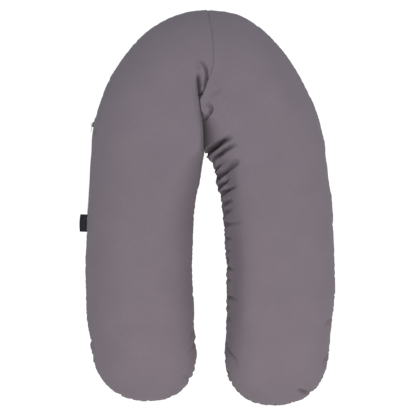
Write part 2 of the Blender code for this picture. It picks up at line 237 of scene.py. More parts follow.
# All sections, from the left tip up its arm, round the bend and down the right arm to its tip.
tip_turns = 90 * (np.arange(1, TIP_SECTIONS) / TIP_SECTIONS) ** TIP_CROWDING
bend_shares = (np.arange(1, BEND_SECTIONS) / BEND_SECTIONS) ** BEND_CROWDING
stretches = (
    tip_sections(LEFT_ARM, LEFT_TIP, -1, tip_turns[::-1]),
    arm_sections(LEFT_ARM, -1, np.linspace(LEFT_ARM[-1].down, 0, LEFT_ARM_SECTIONS)),
    bend_sections(180, bend_shares),
    bend_sections(0, np.ones(1)),
    bend_sections(0, bend_shares[::-1]),
    arm_sections(RIGHT_ARM, 1, np.linspace(0, FOLDED_LENGTH, FOLDED_SECTIONS)),
    arm_sections(RIGHT_ARM, 1, np.linspace(FOLDED_LENGTH, RIGHT_ARM[-1].down, RIGHT_ARM_SECTIONS + 1)[1:]),
    tip_sections(RIGHT_ARM, RIGHT_TIP, 1, tip_turns),
)
sections = Sections(*(np.concatenate(column) for column in zip(*stretches)))

# The points round a section's outline, by their turn in degrees.
turns = [np.zeros(1)]
for quarter in QUARTERS:
    steps = np.arange(1, abs(quarter.points) + 1) / abs(quarter.points)
    if quarter.points > 0:
        turns.append(quarter.seam + 90 * steps**quarter.crowding)
    else:
        turns.append(quarter.seam - 90 * (1 - steps) ** quarter.crowding)
turns = np.concatenate(turns)
outer_seam_point = QUARTERS[0].points - QUARTERS[1].points


def rise(reach, roundness):
    """How much of its full height the cover has, from its edge (reach 0) to where the edge ends (1)."""
    return (1 - (1 - np.minimum(reach, 1)) ** roundness) ** SEAM_PINCH


def eased(share):
    """Rises smoothly from 0 to 1 as the share does."""
    share = np.clip(share, 0, 1)
    return share * share * (3 - 2 * share)


def cleft_place(plan):
    """How far points lie along the cleft's line, up from the gap, and how far to the right of it."""
    way = heading(CLEFT_ANGLE)
    return plan @ way, plan @ np.array((way[1], -way[0]))


def shape_cover(sections, turns):
    """The filled cover's points, one row for each section. The inner seam is at turn 0, the crown at 90,
    the outer seam at 180, the belly at 270 and the inner seam again at 360."""
    upper = (turns <= 180)[None, :]
    roundness = np.where(upper, CROWN_ROUNDNESS, BELLY_ROUNDNESS)
    share_across = ((1 - np.cos(np.radians(turns))) / 2)[None, :, None]
    inner, outer = sections.inner[:, None], sections.outer[:, None]
    half_width = sections.half_width[:, None]
    plan = inner + (outer - inner) * share_across

    # How much of its height the cover has at each point, between its inner and its outer edge.
    along, beside = cleft_place(plan)
    from_inner = np.where(along > 0, abs(beside), np.linalg.norm(plan - inner, axis=2))
    on_left = cleft_place(outer)[1] < 0
    rounding = np.where(on_left, follow(INNER_EDGE, "left", along), follow(INNER_EDGE, "right", along))
    inner_rise = rise(from_inner / np.minimum(rounding, half_width), roundness)
    outer_rise = rise(np.linalg.norm(plan - outer, axis=2) / half_width, roundness)
    share = outer_rise * (1 - follow(INNER_EDGE, "depth", along) * (1 - inner_rise))
    share *= sections.fullness[:, None]

    # Beside the cleft it leans over and has another height.
    near = eased(1 - from_inner / CLEFT_WIDTH)
    lap = follow(INNER_EDGE, "lap", along) * np.sin(np.pi * inner_rise) * upper
    aside = (lap + follow(INNER_EDGE, "shift", along)) * near
    crown = sections.crown[:, None]
    lip = eased(1 - from_inner / np.where(on_left, CLEFT_LIP, CLEFT_WIDTH))
    crown = crown + (CLEFT_CROWN - crown) * lip * eased(1 + along / CLEFT_WIDTH)

    above = SEAM_HEIGHT + (crown - SEAM_HEIGHT) * share
    below = np.maximum(0, SEAM_HEIGHT * (1 - BELLY_DROP * share))
    return np.stack((plan[..., 0] + aside, plan[..., 1], np.where(upper, above, below)), axis=2)


def panel_flats(points, low, high, crown):
    """Where points low to high of each section lie on the panel laid flat, measured out from its crown."""
    part = points[:, low : high + 1]
    steps = np.linalg.norm(np.diff(part, axis=1), axis=2)
    run = np.concatenate((np.zeros((len(part), 1)), np.cumsum(steps, axis=1)), axis=1)
    run -= run[:, crown - low][:, None]
    across = part[:, -1, :2] - part[:, 0, :2]
    across /= np.linalg.norm(across, axis=1)[:, None]
    return part[:, crown - low, None, :2] + across[:, None] * run[..., None]


CORNER_CUTS = 3  # how often a path's corners are cut off


def rounded_path(corners):
    """A path between these corners, with each cut off again and again until it is round."""
    path = np.array(corners, float)
    for _ in range(CORNER_CUTS):
        cut = np.stack((path[:-1] * 0.75 + path[1:] * 0.25, path[:-1] * 0.25 + path[1:] * 0.75), axis=1)
        path = np.concatenate((path[:1], cut.reshape(-1, 2), path[-1:]))
    return path


def path_place(plan, path):
    """For points seen from above: how far along a path they lie (0 to 1), and how far to its left."""
    lengths = np.linalg.norm(np.diff(path, axis=0), axis=1)
    starts = np.concatenate(([0], np.cumsum(lengths)[:-1]))
    best_off = np.full(len(plan), np.inf)
    best_along = np.zeros(len(plan))
    for start, end, length, before in zip(path[:-1], path[1:], lengths, starts):
        way = (end - start) / length
        run = np.clip((plan - start) @ way, 0, length)
        aside = plan - start - run[:, None] * way
        off = np.copysign(np.linalg.norm(aside, axis=1), way[0] * aside[:, 1] - way[1] * aside[:, 0])
        nearer = abs(off) < abs(best_off)
        best_off[nearer] = off[nearer]
        best_along[nearer] = (before + run[nearer]) / lengths.sum()
    return best_along, best_off


# A seam joins the two halves of each panel at the top of the bend. The points crowd together beside it.
CENTRE_SEAM = (
    (0.0055, 0.134), (0.0130, 0.1545), (0.0163, 0.1745), (0.0147, 0.2150),
    (0.0109, 0.2410), (0.0070, 0.2596), (0.0050, 0.2820),
)
CENTRE_CROWDED = 0.018  # how far to either side they are drawn in
CENTRE_CLOSEST = 0.32  # what is left of how far off it they were, for the nearest ones
CENTRE_STARTS = 0.15  # the share of the seam's length over which that begins
centre_path = rounded_path(CENTRE_SEAM)


def crowd_to_centre_seam(points):
    """Draws points sideways towards the centre seam, so that its thin valley has faces enough."""
    plan = points[..., :2].reshape(-1, 2)
    near = np.flatnonzero((plan[:, 1] > CENTRE_SEAM[0][1]) & (abs(plan[:, 0]) < 2 * CENTRE_CROWDED))
    along, off = path_place(plan[near], centre_path)
    share = CENTRE_CLOSEST + (1 - CENTRE_CLOSEST) * eased(abs(off) / CENTRE_CROWDED)
    moved = points.reshape(-1, 3).copy()
    moved[near, 0] += off * (1 - share) * eased(along / CENTRE_STARTS)
    return moved.reshape(points.shape)


# The folded stretch has its faces cut finer. Every point's place is a section and a fine turn.
last_section, last_turn = len(sections.crown) - 1, len(turns) - 1
fine_places = np.arange(last_turn * FOLDED_FINER + 1) / FOLDED_FINER
fine_turns = np.interp(fine_places, np.arange(last_turn + 1), turns)
cover_points = crowd_to_centre_seam(shape_cover(sections, fine_turns))
left_arm_ends = TIP_SECTIONS - 1 + LEFT_ARM_SECTIONS
right_arm_starts = left_arm_ends + 2 * BEND_SECTIONS - 1
folds_start = left_arm_ends + BEND_SECTIONS - 1 - FOLDED_LEFT
folds_end = right_arm_starts + FOLDED_SECTIONS - 1
outer_seam = outer_seam_point * FOLDED_FINER
upper_flat = panel_flats(cover_points, 0, outer_seam, QUARTERS[0].points * FOLDED_FINER)
lower_crown = outer_seam + QUARTERS[2].points * FOLDED_FINER
lower_flat = panel_flats(cover_points, outer_seam, last_turn * FOLDED_FINER, lower_crown)
MERGED = 0.00001  # points as near as this to each other become one


def grid_place(vert):
    """The section and the fine turn that a vertex of the flat grid stands for."""
    section = round((vert.co.x + 0.5) * last_section)
    return section, round((vert.co.y + 0.5) * last_turn * FOLDED_FINER)


# A flat grid has a column for each section and a row for each turn. It is bent into the cover, whose inner
# seam closes where the first row meets the last, and the small holes at the tips are closed by fans.
bm = bmesh.new()
bmesh.ops.create_grid(bm, x_segments=last_section, y_segments=last_turn, size=0.5)
finer = []
for edge in bm.edges:
    (section, turn), (other_section, other_turn) = (grid_place(vert) for vert in edge.verts)
    folded = folds_start <= section <= folds_end and max(turn, other_turn) <= FOLDED_POINTS * FOLDED_FINER
    if section == other_section and folded:
        finer.append(edge)
bmesh.ops.subdivide_edges(bm, edges=finer, cuts=FOLDED_FINER - 1)
places = {vert: grid_place(vert) for vert in bm.verts}
uv_layer = bm.loops.layers.uv.new("panel")
for face in bm.faces:
    is_upper = min(places[vert][1] for vert in face.verts) < outer_seam
    for loop in face.loops:
        section, turn = places[loop.vert]
        flat = upper_flat[section, turn] if is_upper else -lower_flat[section, turn - outer_seam]
        loop[uv_layer].uv = flat
for vert, place in places.items():
    vert.co = cover_points[place]
bmesh.ops.remove_doubles(bm, verts=bm.verts, dist=MERGED)
tip_ends = bmesh.ops.holes_fill(bm, edges=bm.edges, sides=last_turn)["faces"]
for middle in bmesh.ops.poke(bm, faces=tip_ends)["verts"]:
    arm, tip, side = (LEFT_ARM, LEFT_TIP, -1) if middle.co.x < 0 else (RIGHT_ARM, RIGHT_TIP, 1)
    middle.co = (*tip_sections(arm, tip, side, np.array([90.0])).inner[0], SEAM_HEIGHT)
bmesh.ops.recalc_face_normals(bm, faces=bm.faces)
cover_mesh = bpy.data.meshes.new("cover")
bm.to_mesh(cover_mesh)
bm.free()
cover = bpy.data.objects.new("cover", cover_mesh)
bpy.context.scene.collection.objects.link(cover)
cover_mesh.shade_smooth()


def read_rows(items, name):
    """What a mesh keeps for each of its points, one row for each."""
    rows = np.empty(len(items) * 3, np.float32)
    items.foreach_get(name, rows)
    return rows.reshape(-1, 3).astype(float)


def write_points(mesh, points):
    """Puts moved points back into their mesh."""
    mesh.vertices.foreach_set("co", points.astype(np.float32).ravel())
    mesh.update()


# The folds. On the inside of the bend there is more cloth than room, so it bunches up in the right lobe.
# Each fold is a valley along a path, with its own width to the left and right of it. A negative depth
# stands proud. It fades out at its end or at both, and at_edge is the share of it that is left at the seam.

Fold = namedtuple("Fold", "path depth left right fades at_edge", defaults=(1,))
AT_END, AT_BOTH = "at its end", "at both ends"
FOLDS = (
    # The deepest folds run up from the gap's edge.
    Fold(
        ((-0.004, -0.008), (0.0055, -0.001), (0.0145, 0.005), (0.024, 0.011), (0.037, 0.018), (0.053, 0.027)),
        0.032, 0.0080, 0.0080, AT_END, 0.3,
    ),
    Fold(
        ((0.0145, -0.0165), (0.025, -0.0095), (0.035, -0.002), (0.048, 0.006), (0.062, 0.014)),
        0.020, 0.0055, 0.007, AT_END, 0.2,
    ),
    Fold(((0.0175, -0.038), (0.026, -0.028), (0.034, -0.021)), 0.011, 0.0045, 0.0045, AT_END, 0.2),
    Fold(
        ((0.021, -0.051), (0.029, -0.043), (0.041, -0.035), (0.054, -0.027), (0.066, -0.019)),
        0.021, 0.0075, 0.009, AT_END, 0.2,
    ),
    Fold(
        ((0.025, -0.070), (0.033, -0.063), (0.040, -0.055), (0.048, -0.048)),
        0.017, 0.005, 0.006, AT_END, 0.2,
    ),
    Fold(
        ((0.026, -0.086), (0.035, -0.080), (0.047, -0.073), (0.062, -0.067)),
        0.017, 0.006, 0.007, AT_END, 0.2,
    ),
    # Between them the shoulder sinks, and it stays low down the arm, where fainter ones lie.
    Fold(
        ((0.024, -0.010), (0.031, -0.035), (0.037, -0.060), (0.043, -0.095)),
        0.0080, 0.030, 0.008, AT_BOTH, 0,
    ),
    Fold(
        ((0.034, -0.070), (0.042, -0.110), (0.048, -0.165), (0.051, -0.240), (0.051, -0.310),
         (0.047, -0.385)),
        0.0050, 0.028, 0.007, AT_BOTH, 0,
    ),
    Fold(((0.028, -0.103), (0.040, -0.099), (0.054, -0.093)), 0.0110, 0.006, 0.008, AT_END, 0.2),
    Fold(((0.030, -0.122), (0.041, -0.116), (0.052, -0.109)), 0.0100, 0.006, 0.008, AT_END, 0.2),
    Fold(((0.032, -0.143), (0.048, -0.140), (0.071, -0.136)), 0.0080, 0.007, 0.008, AT_END, 0.2),
    Fold(((0.034, -0.166), (0.050, -0.171), (0.064, -0.174)), 0.0065, 0.005, 0.006, AT_END, 0.2),
    Fold(((0.036, -0.196), (0.046, -0.192), (0.058, -0.190)), 0.0045, 0.005, 0.005, AT_END, 0.3),
    Fold(((0.040, -0.225), (0.055, -0.232), (0.067, -0.238)), 0.0070, 0.005, 0.006, AT_END, 0.2),
    Fold(((0.040, -0.247), (0.052, -0.252), (0.062, -0.258)), 0.0040, 0.004, 0.005, AT_END, 0.3),
    Fold(((0.041, -0.273), (0.052, -0.281)), -0.0018, 0.003, 0.003, AT_BOTH, 0.2),
    Fold(((0.040, -0.280), (0.054, -0.286), (0.069, -0.290)), 0.0080, 0.004, 0.006, AT_END, 0.2),
    Fold(((0.039, -0.296), (0.050, -0.307)), 0.0040, 0.004, 0.004, AT_END, 0.3),
    Fold(((0.038, -0.318), (0.047, -0.327), (0.056, -0.339)), 0.0045, 0.004, 0.005, AT_END, 0.3),
    Fold(((0.040, -0.352), (0.052, -0.364)), 0.0040, 0.004, 0.004, AT_END, 0.3),
    Fold(((0.041, -0.376), (0.053, -0.390)), -0.0020, 0.003, 0.003, AT_BOTH, 0.2),
    Fold(
        ((0.039, -0.379), (0.048, -0.389), (0.057, -0.401), (0.063, -0.418)),
        0.0080, 0.004, 0.006, AT_END, 0.2,
    ),
    # Round both tips the cloth is caught up unevenly by the seam.
    Fold(((0.249, -0.323), (0.240, -0.330), (0.2255, -0.344)), 0.0050, 0.004, 0.005, AT_END, 0.4),
    Fold(((0.2290, -0.330), (0.2280, -0.355), (0.2255, -0.385)), 0.0014, 0.005, 0.005, AT_BOTH),
    Fold(((0.2400, -0.322), (0.2380, -0.350), (0.2345, -0.378)), -0.0028, 0.004, 0.0035, AT_BOTH),
    Fold(((0.240, -0.391), (0.231, -0.406), (0.226, -0.423)), 0.0045, 0.003, 0.004, AT_END, 0.3),
    Fold(((0.2370, -0.395), (0.2325, -0.410), (0.2290, -0.425)), -0.0028, 0.0035, 0.0035, AT_BOTH),
    Fold(
        ((0.222, -0.4705), (0.209, -0.4700), (0.195, -0.4665), (0.176, -0.4590)),
        0.0120, 0.0070, 0.0035, AT_BOTH, 0.25,
    ),
    Fold(((0.216, -0.4650), (0.200, -0.4625), (0.182, -0.4560)), -0.0018, 0.003, 0.003, AT_BOTH),
    Fold(((-0.228, -0.362), (-0.221, -0.372), (-0.214, -0.386)), 0.0045, 0.004, 0.004, AT_END),
    Fold(((-0.220, -0.395), (-0.213, -0.406)), 0.0030, 0.003, 0.004, AT_END),
    Fold(
        ((-0.083, -0.476), (-0.068, -0.472), (-0.054, -0.465), (-0.042, -0.456)),
        0.0060, 0.0035, 0.0035, AT_BOTH,
    ),
    Fold(((-0.026, -0.445), (-0.034, -0.438), (-0.045, -0.425)), 0.0040, 0.004, 0.004, AT_END),
    Fold(((-0.016, -0.368), (-0.024, -0.383), (-0.036, -0.398)), 0.0040, 0.004, 0.004, AT_END),
    Fold(((-0.020, -0.350), (-0.028, -0.364), (-0.037, -0.374)), 0.0030, 0.003, 0.004, AT_END),
    # The cloth sinks a little beside the label and below the zip's slider.
    Fold(((-0.2235, -0.116), (-0.2225, -0.138), (-0.2235, -0.160)), 0.0034, 0.004, 0.007, AT_BOTH),
    Fold(((-0.2140, 0.0475), (-0.2132, 0.0400), (-0.2136, 0.0290)), 0.0035, 0.003, 0.004, AT_BOTH),
    # The leaf-shaped tuck at the cleft's upper end, and the small hook below it.
    Fold(
        ((0.0028, 0.1360), (0.0031, 0.1438), (0.0019, 0.1548), (-0.0037, 0.1655), (-0.0125, 0.1725)),
        0.0140, 0.0038, 0.0046, AT_END,
    ),
    Fold(
        ((0.0028, 0.1400), (0.0019, 0.1341), (-0.0008, 0.1244), (-0.0050, 0.1147), (-0.0113, 0.0993),
         (-0.018, 0.083)),
        0.0110, 0.0042, 0.0036, AT_END,
    ),
    Fold(((-0.0145, 0.172), (-0.0150, 0.155), (-0.0140, 0.137)), -0.0034, 0.0040, 0.0030, AT_BOTH),
    Fold(
        ((0.0025, 0.0955), (0.0055, 0.0880), (0.0115, 0.0835), (0.0125, 0.0770), (0.0085, 0.069),
         (0.003, 0.0625), (-0.003, 0.058)),
        0.0100, 0.005, 0.006, AT_BOTH,
    ),
    # Soft ones on the lobe beside them.
    Fold(((0.002, 0.104), (0.015, 0.112), (0.036, 0.120)), 0.0025, 0.007, 0.010, AT_BOTH),
    Fold(((0.030, 0.094), (0.036, 0.100), (0.043, 0.109)), 0.0010, 0.004, 0.004, AT_BOTH),
    Fold(((0.026, 0.059), (0.036, 0.067)), 0.0010, 0.004, 0.004, AT_BOTH),
)
FOLD_FADE_BELOW_SEAM = 0.035
FOLD_WHOLE_ABOVE_SEAM = 0.028  # from this height above the seam, at_edge weakens a fold no more
FOLDS_MEET = 0.105  # how far up the cleft a fold may cross it; below, each stays in its own arm


def fold_depths(points):
    """How far the folds draw the cloth in at each point. Where two meet, the deeper one counts."""
    deepest = np.zeros(len(points))
    up_cleft, beside = cleft_place(points[:, :2])
    fade = np.clip(1 - (SEAM_HEIGHT - points[:, 2]) / FOLD_FADE_BELOW_SEAM, 0, 1)
    whole = eased((points[:, 2] - SEAM_HEIGHT) / FOLD_WHOLE_ABOVE_SEAM)
    for fold in FOLDS:
        path = rounded_path(fold.path)
        widest = max(fold.left, fold.right)
        low, high = path.min(axis=0) - widest, path.max(axis=0) + widest
        this_side = (beside * cleft_place(path[len(path) // 2])[1] > 0) | (up_cleft > FOLDS_MEET)
        within = ((points[:, :2] > low) & (points[:, :2] < high)).all(axis=1)
        near = np.flatnonzero(within & (fade > 0) & this_side)
        along, off = path_place(points[near, :2], path)
        share = abs(off) / np.where(off > 0, fold.left, fold.right)
        strength = 1 - along**2 if fold.fades == AT_END else np.sin(np.pi * along)
        strength = strength * fade[near] * (fold.at_edge + (1 - fold.at_edge) * whole[near])
        depth = fold.depth * strength * np.maximum(0, 1 - share**2) ** 2
        deepest[near] = np.where(abs(depth) > abs(deepest[near]), depth, deepest[near])
    return deepest


points = read_rows(cover_mesh.vertices, "co")
normals = read_rows(cover_mesh.vertex_normals, "vector")
points -= normals * fold_depths(points)[:, None]
write_points(cover_mesh, points)

# The seam round the edge. It is sewn on the inside and turned, so it lies in a narrow valley between two
# soft lips. The flat panels are longer than the seam of the filled cover, which puckers them all along.

SEAM_STEP = 0.001  # how finely the seam's line is followed
GROOVE_DEPTH = 0.0022
GROOVE_WIDTH = 0.0016

# The puckers: the least and the most of each size, drawn anew for each pucker. Deep ones are rarer.
PUCKER_SEED = 7
PUCKER_GAPS = (0.005, 0.013)
PUCKER_WIDTHS = (0.0030, 0.0060)
PUCKER_DEPTHS = (0.0006, 0.0042)
PUCKER_DEEP_RARITY = 3
PUCKER_REACHES = (0.010, 0.045)
PUCKER_LEAN = 0.35
PUCKER_STEEPNESS = 2  # of its two sides
PUCKER_EDGE = 2  # in widths: it has faded out there

# How strong they are along the seam, which starts at the gap's upper end, goes down the left arm's inner
# edge, round the outside, and back up the right arm's inner edge.
PuckerRow = namedtuple("PuckerRow", "along strength")
PUCKERING = (
    PuckerRow(0.00, 0.9),
    PuckerRow(0.30, 1.0),
    PuckerRow(0.50, 1.2),
    PuckerRow(0.75, 1.2),
    PuckerRow(0.95, 0.6),
    PuckerRow(1.40, 0.45),
    PuckerRow(1.90, 0.6),
    PuckerRow(2.15, 1.0),
    PuckerRow(2.30, 1.5),
    PuckerRow(2.50, 1.3),
    PuckerRow(2.65, 1.9),
    PuckerRow(3.05, 2.3),
)

# The centre seam is a thin valley between two low ridges. Its lower end fades out in the cleft.
CENTRE_DEPTH = 0.0018
CENTRE_WIDTH = 0.0011
CENTRE_RIDGE = 0.0004
CENTRE_BESIDE = 0.0035
CENTRE_FADES = 0.1
OUT_OF_REACH = 1.0  # how far off it the points below its lower end are taken to be

# The filling shows through the cloth as soft waves. They fade out where the cloth lies on the floor.
Wave = namedtuple("Wave", "size height")
WAVES = (Wave(0.060, 0.0010), Wave(0.022, 0.0004))
WAVES_FADE = 0.010

# Along the zip the cloth stands up in two welts, each with a dent where it is stitched down. WELT is how
# far it is raised at each distance from the seam's line. The two bunch up just past the slider.
ZIP_LENGTH = 0.165
ZIP_ENDS = 0.012  # how soon the seam opens and closes at the zip's two ends
PUFF_HEIGHT = 0.0018
PUFF_PAST = 0.006  # beyond the slider
PUFF_LENGTH = 0.010
PUFF_AWAY = 0.010  # from the seam's line
PUFF_WIDTH = 0.005
WeltRow = namedtuple("WeltRow", "away raised")
WELT = (
    WeltRow(0.0000, -0.0042),
    WeltRow(0.0014, -0.0040),
    WeltRow(0.0022, -0.0013),
    WeltRow(0.0036, -0.0008),
    WeltRow(0.0060, -0.0011),
    WeltRow(0.0070, -0.0022),
    WeltRow(0.0080, -0.0010),
    WeltRow(0.0150, -0.0012),
    WeltRow(0.0400, 0.0000),
)

# The seam's line round the whole cover, in even steps, and the seam's direction at each of them.
seam = np.concatenate((
    sections.inner[left_arm_ends - 1 :: -1],
    tip_sections(LEFT_ARM, LEFT_TIP, -1, np.array([90.0])).inner,
    sections.outer,
    tip_sections(RIGHT_ARM, RIGHT_TIP, 1, np.array([90.0])).inner,
    sections.inner[: right_arm_starts - 1 : -1],
))
seam_runs = np.concatenate(([0], np.cumsum(np.linalg.norm(np.diff(seam, axis=0), axis=1))))
seam_length = seam_runs[-1]
even_runs = np.arange(0, seam_length, SEAM_STEP)
seam = np.stack([np.interp(even_runs, seam_runs, seam[:, axis]) for axis in (0, 1)], axis=1)
seam_ways = np.gradient(seam, axis=0)
seam_ways /= np.linalg.norm(seam_ways, axis=1)[:, None]
seam_tree = kdtree.KDTree(len(seam))
for i, place in enumerate(seam):
    seam_tree.insert((*place, SEAM_HEIGHT), i)
seam_tree.balance()


def seam_place(points):
    """For each point: how far along the seam it lies, and how far from it."""
    nearest = np.array([seam_tree.find(point)[1] for point in points])
    off = points[:, :2] - seam[nearest]
    run = (off * seam_ways[nearest]).sum(axis=1)
    height = points[:, 2] - SEAM_HEIGHT
    away = np.sqrt(np.maximum(0, (off**2).sum(axis=1) - run**2 + height**2))
    return even_runs[nearest] + run, away


def puckers(along, away, upper, strength):
    """How far the puckers draw the cloth in. Each is a shallow valley that runs off from the seam."""
    random = np.random.default_rng(PUCKER_SEED)
    drawn = np.zeros(len(along))
    for side in (upper, ~upper):
        place = 0
        while place < seam_length:
            place += random.uniform(*PUCKER_GAPS)
            width = random.uniform(*PUCKER_WIDTHS)
            shallow, deep = PUCKER_DEPTHS
            depth = shallow + (deep - shallow) * random.random() ** PUCKER_DEEP_RARITY
            reach = random.uniform(*PUCKER_REACHES)
            lean = random.normal(0, PUCKER_LEAN)
            off = (along - place - lean * away) / (width * (1 + away / reach))
            near = side & (abs(off) < PUCKER_EDGE) & (away < reach)
            shape = np.exp(-(off[near] ** 2) * PUCKER_STEEPNESS) * (1 - (away[near] / reach) ** 2) ** 2
            drawn[near] += depth * strength[near] * shape
    return drawn


# The cover's place: the outline's farthest points meet those of the solid pillow.
highest = sections.outer.max(axis=0)
solid_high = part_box("pillow")[1]
gap_end = Vector((solid_high.x - highest[0], solid_high.y - highest[1], 0))


def seam_run_at(node):
    """How far along the seam a node of the frame sits."""
    low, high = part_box(node)
    return even_runs[seam_tree.find((low + high) / 2 - gap_end)[1]]


# The groove, the puckers, the welts, the centre seam and the waves together move the cloth in or out.
points = read_rows(cover_mesh.vertices, "co")
normals = read_rows(cover_mesh.vertex_normals, "vector")
along, away = seam_place(points)
upper = points[:, 2] >= SEAM_HEIGHT
zip_end = seam_run_at("zip_slider")
zip_start = zip_end - ZIP_LENGTH
zipped = eased((along - zip_start) / ZIP_ENDS + 0.5) * eased((zip_end - along) / ZIP_ENDS + 0.5)
groove = GROOVE_DEPTH * np.exp(-((away / GROOVE_WIDTH) ** 2))
inward = (groove + puckers(along, away, upper, follow(PUCKERING, "strength", along))) * (1 - zipped)
inward -= zipped * follow(WELT, "raised", away)
puff_along = (along - zip_end - PUFF_PAST) / PUFF_LENGTH
puff_away = (away - PUFF_AWAY) / PUFF_WIDTH
inward -= PUFF_HEIGHT * np.exp(-(puff_along**2) - puff_away**2)
centre_along, centre_off = path_place(points[:, :2], centre_path)
centre_off[centre_along <= 0] = OUT_OF_REACH
centre_fade = eased(centre_along / CENTRE_FADES)
ridges_off = (abs(centre_off) - CENTRE_BESIDE) / CENTRE_BESIDE
inward += CENTRE_DEPTH * centre_fade * np.exp(-((centre_off / CENTRE_WIDTH) ** 2))
inward -= CENTRE_RIDGE * centre_fade * np.exp(-(ridges_off**2))
for wave in WAVES:
    rises = np.array([noise.noise(Vector(point) / wave.size) for point in points])
    inward -= wave.height * rises * np.minimum(1, points[:, 2] / WAVES_FADE)
points -= normals * inward[:, None]
points[:, 2] = np.maximum(points[:, 2], 0)
write_points(cover_mesh, points)

cover_mesh.transform(Matrix.Translation(gap_end))
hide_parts("pillow")
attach(cover, "root")


class Flow:
    """A value in a material. Arithmetic on it adds Math nodes, and add() puts in any other node."""

    def __init__(self, tree, socket=None):
        self.tree, self.socket = tree, socket

    def add(self, kind, settings=(), sockets=(), output=0):
        node = self.tree.nodes.new(kind)
        for name, value in dict(settings).items():
            setattr(node, name, value)
        for name, value in dict(sockets).items():
            if isinstance(value, Flow):
                self.tree.links.new(value.socket, node.inputs[name])
            else:
                node.inputs[name].default_value = value
        return Flow(self.tree, node.outputs[output])

    def feed(self, socket):
        self.tree.links.new(self.socket, socket)

    def math(self, operation, *values):
        return self.add("ShaderNodeMath", {"operation": operation}, enumerate((self, *values)))

    def __add__(self, other):
        return self.math("ADD", other)

    def __sub__(self, other):
        return self.math("SUBTRACT", other)

    def __rsub__(self, other):
        return self * -1 + other

    def __mul__(self, other):
        return self.math("MULTIPLY", other)

    def __truediv__(self, other):
        return self.math("DIVIDE", other)

    __radd__, __rmul__ = __add__, __mul__


def start_material(name, **constants):
    """A material whose shader has these values all over. Returns it, its shader and an empty flow."""
    material = bpy.data.materials.new(name)
    material.use_nodes = True
    shader = material.node_tree.nodes["Principled BSDF"]
    for socket, value in constants.items():
        shader.inputs[socket.replace("_", " ")].default_value = value
    return material, shader, Flow(material.node_tree)


def uv_parts(flow, name):
    """A UV map and its two coordinates, in metres."""
    uv = flow.add("ShaderNodeUVMap", {"uv_map": name})
    across, along = (flow.add("ShaderNodeSeparateXYZ", sockets={"Vector": uv}, output=i) for i in (0, 1))
    return uv, across, along


def object_place(flow):
    """Where a point of the piece lies, in metres."""
    return flow.add("ShaderNodeTexCoord", output=3)


def threads(across, pitch):
    """Round threads side by side: 1 at the top of each, and 0 between two of them."""
    return (across * (math.pi / pitch)).math("SINE").math("ABSOLUTE")


def blotches(flow, place, size, detail=2.0):
    """Soft random patches of about this size, from 0 to 1."""
    sockets = {"Vector": place, "Scale": 1 / size, "Detail": detail, "Roughness": 0.5}
    return flow.add("ShaderNodeTexNoise", sockets=sockets)


def mixed(flow, share, first, second, blend="MIX"):
    """From the first colour at a share of 0 to the second, or to both blended, at 1."""
    settings = {"data_type": "RGBA", "blend_type": blend}
    return flow.add("ShaderNodeMix", settings, {0: share, 6: first, 7: second}, output=2)


def raise_relief(flow, shader, height, strength, distance):
    """Gives a material its fine relief, where a height of 1 stands up by this distance."""
    sockets = {"Height": height, "Strength": strength, "Distance": distance}
    flow.add("ShaderNodeBump", sockets=sockets).feed(shader.inputs["Normal"])


# The cotton. Its threads, slubs and wear make it lighter and darker, and its tint drifts from the tips to
# the bend. A part's tone is how far it moves the colour between the dark one and the light one, its
# roughness is what it adds to the cotton's, and its relief is its share of the cotton's.
COTTON_LIGHT = (0.2345, 0.1960, 0.2300, 1)
COTTON_DARK = (0.2000, 0.1660, 0.1985, 1)
THREAD_PITCH = 0.0006
WEAVE_TONE = 0.25
WEAVE_MEAN = 0.4  # about the average of the weave, which runs from 0 to 1
WEAVE_RELIEF = 0.6
WORN_SIZE = 0.060
WORN_DETAIL = 3.0
WORN_TONE = 1.1
WORN_ROUGHNESS = 0.10
SLUB_SIZE = 0.003
SLUB_STRETCH = (1, 0.25, 1)  # they are long and thin
SLUB_TONE = 0.9
SLUB_ROUGHNESS = 0.06
SLUB_RELIEF = 0.4
COTTON_ROUGHNESS = 0.82
COTTON_RELIEF = 0.0002
TINT_AT_TIPS = (1.010, 0.995, 0.980, 1)
TINT_AT_BEND = (0.945, 0.965, 1.005, 1)
TINT_SIZE = 0.09
TINT_DELAY = 0.2  # as a share of the whole drift
cotton, shader, flow = start_material("mauve grey cotton", Sheen_Weight=0.10, Sheen_Roughness=0.6)
uv, warp, weft = uv_parts(flow, "panel")
weave = threads(warp, THREAD_PITCH) * threads(weft, THREAD_PITCH)
worn = blotches(flow, uv, WORN_SIZE, WORN_DETAIL)
stretched = flow.add("ShaderNodeVectorMath", {"operation": "MULTIPLY"}, {0: uv, 1: SLUB_STRETCH})
slubs = blotches(flow, stretched, SLUB_SIZE)
tone = (worn - 0.5) * WORN_TONE + (slubs - 0.5) * SLUB_TONE + (weave - WEAVE_MEAN) * WEAVE_TONE + 0.5
dyed = mixed(flow, tone.math("MINIMUM", 1).math("MAXIMUM", 0), COTTON_DARK, COTTON_LIGHT)
place = object_place(flow)
lengthwise = flow.add("ShaderNodeSeparateXYZ", sockets={"Vector": place}, output=1)
towards_bend = lengthwise / (2 * cad_box[1][1]) + blotches(flow, place, TINT_SIZE) - TINT_DELAY
tint = mixed(flow, towards_bend, TINT_AT_TIPS, TINT_AT_BEND)
mixed(flow, 1, dyed, tint, "MULTIPLY").feed(shader.inputs["Base Color"])
(worn * WORN_ROUGHNESS + slubs * SLUB_ROUGHNESS + COTTON_ROUGHNESS).feed(shader.inputs["Roughness"])
raise_relief(flow, shader, weave * WEAVE_RELIEF + slubs * SLUB_RELIEF, strength=0.35, distance=COTTON_RELIEF)
cover_mesh.materials.append(cotton)


